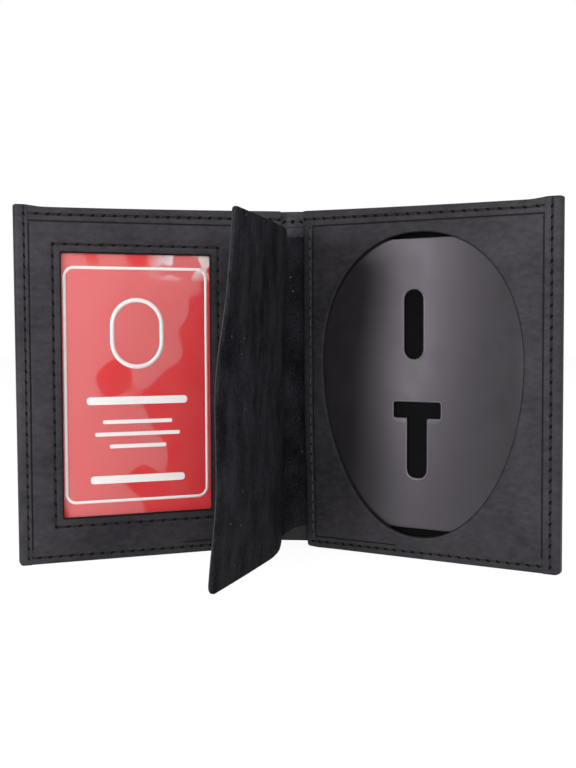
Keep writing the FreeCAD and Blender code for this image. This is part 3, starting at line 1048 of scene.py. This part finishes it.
def pin_ring(d=0.0):
    return rect(inset(PIN, -d), PIN_RADIUS + d, (2, 10, 8))


def tee_ring(d=0.0):
    bar, stem, top, under, foot = 7.95 + d, 3.35 + d, 48.5 + d, 43.5 - d, 24.9 - d
    left = [(-bar, top, 0.8 + d), (-bar, under, 0.8 + d), (-stem, under, 0.5), (-stem, foot, stem * 0.98)]
    right = [(-x, z, r) for x, z, r in left[::-1]]
    return rounded_section([(TEE_X + x, z, r) for x, z, r in left + right], 9)


def cutter(name, ring):
    """A block with a slot's outline, through the plate."""
    points = np.concatenate([at_depth(ring, depth) for depth in (-6.0, 3.0)])
    return make_piece(name, FLAT["badge"](points), tube_faces(2, len(ring)), [BOARD])


plate = patch_sheet(
    "badge_plate_board", PLATE, 4.0, plate_front, behind(plate_front, PLATE_THICK), FLAT["badge"], [BOARD, CUT_EDGE_AND_HIGHLIGHT],
    0.25, (44, 48, 4),
)
# The second look, pale as a raw cut edge and as a painted highlight, is for the cut edges alone
plate.data.polygons.foreach_set("material_index", np.zeros(len(plate.data.polygons), np.int32))
slots = [cutter("pin_cutter", pin_ring()), cutter("tee_cutter", tee_ring())]
for tool in slots:
    cut = plate.modifiers.new("slot", "BOOLEAN")
    cut.object, cut.operation, cut.solver = tool, "DIFFERENCE", "EXACT"
rim = plate.modifiers.new("rim", "BEVEL")
rim.width = 0.0004
rim.material = 1
rim.segments = 2
rim.limit_method = "ANGLE"
rim.angle_limit = math.radians(50)
bpy.context.view_layer.update()
solid = bpy.data.meshes.new_from_object(plate.evaluated_get(bpy.context.evaluated_depsgraph_get()))
plate.modifiers.clear()
plate.data = solid
for tool in slots:
    bpy.data.objects.remove(tool)
solid.polygons.foreach_set("use_smooth", np.ones(len(solid.polygons), bool))
solid.set_sharp_from_angle(angle=math.radians(40))
finish_piece(plate, "badge_half", "plate_board", "badge_plate")
# Pale rims all round the slots: raw cut edge and a painted highlight
for name, ring in (("pin", pin_ring), ("tee", tee_ring)):
    loops = []
    for d, lift in ((0.12, 0.3), (0.12, -0.03), (0.52, -0.03), (0.56, 0.02)):
        edge = ring(d)
        loops.append(at_depth(edge, plate_front(edge[:, 0], edge[:, 1]) + lift))
    slot_rim = ring_sheet(f"badge_{name}_slot_rim", loops, FLAT["badge"], [CUT_EDGE_AND_HIGHLIGHT])
    finish_piece(slot_rim, "badge_half", "plate_board")


# Flap and its tab

def root_shift(h):
    """How far the flap's root lies towards the card half, at a share of its height."""
    return 4.3 - 2.1 * h


def flap_place(points):
    """Places on the flap, from points out from its axis, across its thickness and up."""
    r, t, z = np.moveaxis(points, -1, 0)
    h = (z - FLAP_Z[0]) / (FLAP_Z[1] - FLAP_Z[0])
    out, up = unit(r / FLAP_LENGTH), unit(h)
    lean = np.radians(FLAP_LEAN + FLAP_TWIST * (1 - 2 * h))
    t = t + FLAP_BOW * np.sin(np.pi * out) * np.sin(2.2 * h + 0.5)
    wave = sum(size * np.exp(-((h - middle) / spread) ** 2) for size, middle, spread in FLAP_WAVES)
    t = t + (wave - FLAP_CURL * up ** 2) * out ** 2
    t = t - root_shift(h) * (1 - unit(r / (ROOT_REACH[0] - ROOT_REACH[1] * up))) ** 1.6
    foot = FLAP_FOOT[0] * (1 - unit(r / FLAP_FOOT[1])) ** 2 * (1 - up) ** FLAP_FOOT[2]
    z = z + foot - FLAP_SAG[0] * unit(r / FLAP_SAG[1]) ** 2 * (1 - up) ** FLAP_SAG[2]
    x = FLAP_AXIS[0] - r * np.sin(lean) + t * np.cos(lean)
    y = FLAP_AXIS[1] - r * np.cos(lean) - t * np.sin(lean)
    return np.stack((x, y, z), -1)


flap = patch_sheet(
    "badge_flap_leather", (-0.55, FLAP_LENGTH, *FLAP_Z), [8.0, 3.0, 1.6, 6.0],
    constant(FLAP_HALF), constant(-FLAP_HALF), flap_place, [SUEDE, GRAIN], 0.3, (40, 52, 5),
)
finish_piece(flap, "flap", "suede", "badge_flap")
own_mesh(flap)


def tab_place(points):
    """Places on the tab: over the spine where s is below 0, else on the badge half."""
    s, depth, z = np.moveaxis(points, -1, 0)
    h = unit((z - TAB_Z[0]) / (TAB_Z[1] - TAB_Z[0]))
    over = unit(-s / SPINE)
    z = z - TAB_DROP * over ** 2 * (1 - h) ** 8
    on_spine, along = np.minimum(s, 0), np.maximum(s, 0)
    x = SPINE + on_spine - root_shift(h) * over + along * np.cos(FOLD) + np.where(s > 0, depth * np.sin(FOLD), 0)
    y = -STRIP - along * np.sin(FOLD) + depth * np.where(s > 0, np.cos(FOLD), 1)
    return np.stack((x, y, z), -1)


tab = patch_sheet(
    "flap_tab_strip", (-SPINE, TAB_END, *TAB_Z), [0.6, 0.5, 0.5, 0.8], constant(-0.45), constant(0.62),
    tab_place, [SUEDE], 0.3, (20, 40, 4),
)
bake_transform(tab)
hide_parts("flap_tab", "flap_seam_margin")


# Sewing

def line_along(start, end, depth, z, **sewing):
    return seam_line([(a, depth, z) for a in np.linspace(start, end, LINE_POINTS)], **sewing)


def line_up(along, depth, start, end, **sewing):
    return seam_line([(along, depth, z) for z in np.linspace(start, end, LINE_POINTS)], **sewing)


for half, seam in SIDE_SEAM.items():
    top = np.linspace(PANEL_START + 0.6, seam - 0.6, 60)
    front = [
        seam_line([(a, PANEL_FRONT - 0.02, TOP_SEAM + float(rise(a)) * 0.63) for a in top], TOP_PITCH[half]),
        line_up(seam, LIP_FRONT + 0.13, FOOT_SEAM, TOP_SEAM),
        line_along(PANEL_START + FOOT_SEAM, seam - 0.4, PANEL_FRONT + 0.14, FOOT_SEAM),
        # The fold-side thread is painted paler as a highlight
        line_up(FOLD_SEAM, PANEL_FRONT, FOOT_SEAM, HEIGHT - 4.6, hole=0.4, worn=True),
    ]
    if half == "id":
        x0, x1, z0, z1 = inset(WINDOW, -WINDOW_SEAM)
        front += [line_along(x0, x1, PANEL_FRONT + 0.15, z, pitch=WINDOW_PITCH) for z in (z0, z1)]
        front += [line_up(x, PANEL_FRONT + 0.15, z0, z1, pitch=WINDOW_PITCH) for x in (x0, x1)]
    sewn = stitches(half + "_front_sewing", front, SOFT[half])
    finish_piece(sewn, half + "_half", "edge_leather")

    foot = [(s, float(gape(s, BACK_FOOT_SEAM)) + COVER_THICK, BACK_FOOT_SEAM) for s in np.linspace(3.0, 83.0, 60)]
    back = [line_up(SIDE_SEAM["badge"], COVER_BACK, BACK_FOOT_SEAM, TOP_SEAM), seam_line(foot)]
    sewn = stitches(half + "_back_sewing", back, FLAT[half], 1.0)
    finish_piece(sewn, half + "_half", "edge_leather")


# Studio

def floor():
    """A pale floor that shows almost white and keeps the shadow."""
    bpy.ops.mesh.primitive_plane_add(size=6, location=(0, 0, 0))
    plane = bpy.context.object
    plane.name = "floor"
    look = Look("floor", (0.86, 0.86, 0.86), 0.9, Specular_IOR_Level=0.1)
    look.tint(look.noise(4, 2), (0.855, 0.855, 0.855), (0.865, 0.865, 0.865))
    light = look.add("ShaderNodeEmission", Strength=1.16)
    paths = look.add("ShaderNodeLightPath").outputs
    mirrored = look.math("MAXIMUM", paths["Is Glossy Ray"], paths["Is Transmission Ray"])
    shown = look.math("MAXIMUM", paths["Is Camera Ray"], mirrored)
    mix = look.add("ShaderNodeMixShader")
    look.join(look.math("MULTIPLY", shown, 0.78), mix.inputs["Fac"])
    look.join(look.shader.outputs["BSDF"], mix.inputs[1])
    look.join(light.outputs["Emission"], mix.inputs[2])
    look.join(mix.outputs["Shader"], look.nodes["Material Output"].inputs["Surface"])
    plane.data.materials.append(look.material)


def world():
    """Soft light from all round, in front of a white background."""
    studio = bpy.data.worlds.new("studio")
    bpy.context.scene.world = studio
    studio.use_nodes = True
    nodes, links = studio.node_tree.nodes, studio.node_tree.links
    soft, white = nodes["Background"], nodes.new("ShaderNodeBackground")
    for background, strength in ((soft, 0.4), (white, 1.0)):
        background.inputs["Color"].default_value = (1, 1, 1, 1)
        background.inputs["Strength"].default_value = strength
    paths = nodes.new("ShaderNodeLightPath")
    mix = nodes.new("ShaderNodeMixShader")
    links.new(paths.outputs["Is Camera Ray"], mix.inputs["Fac"])
    links.new(soft.outputs["Background"], mix.inputs[1])
    links.new(white.outputs["Background"], mix.inputs[2])
    links.new(mix.outputs["Shader"], nodes["World Output"].inputs["Surface"])


def lamps():
    """Soft lamps, aimed at the wallet."""
    aim = Vector((0, -0.03, 0.055))
    for name, place, size, power in (
        ("key", (-0.285, -0.47, 0.118), (0.14, 0.236), 1.28),
        ("fill", (0.62, -0.55, 0.35), (0.5, 0.6), 1.9),
        ("front", (0.06, -0.85, 0.3), (0.5, 0.4), 3.0),
        ("top", (0.0, 0.05, 0.85), (0.9, 0.6), 3.2),
    ):
        lamp = bpy.data.lights.new(name, "AREA")
        lamp.shape = "RECTANGLE"
        lamp.size, lamp.size_y = size
        lamp.energy = power
        obj = bpy.data.objects.new(name, lamp)
        obj.location = place
        obj.rotation_mode = "QUATERNION"
        obj.rotation_quaternion = (aim - Vector(place)).to_track_quat("-Z", "Y")
        bpy.context.scene.collection.objects.link(obj)


def photo_camera():
    """The photograph's viewpoint: 576 by 768 pixels with a focal length of 1100 of them."""
    sensor, focal, tall = 36, 1100, 768
    yaw, pitch, roll = math.radians(-5.56), math.radians(2.68), math.radians(-0.22)
    data = bpy.data.cameras.new("photo_camera")
    data.sensor_width = sensor
    data.lens = sensor * focal / tall
    data.clip_start, data.clip_end = 0.01, 20
    camera = bpy.data.objects.new("photo_camera", data)
    ahead = Vector((math.sin(yaw) * math.cos(pitch), math.cos(yaw) * math.cos(pitch), -math.sin(pitch)))
    turn = ahead.to_track_quat("-Z", "Y").to_matrix().to_4x4() @ Matrix.Rotation(roll, 4, "Z")
    camera.matrix_world = Matrix.Translation((0.0333, -0.3609, 0.0701)) @ turn
    bpy.context.scene.collection.objects.link(camera)
    bpy.context.scene.camera = camera


floor()
world()
lamps()
photo_camera()
bpy.context.scene.view_settings.view_transform = "Standard"

bpy.context.view_layer.update()
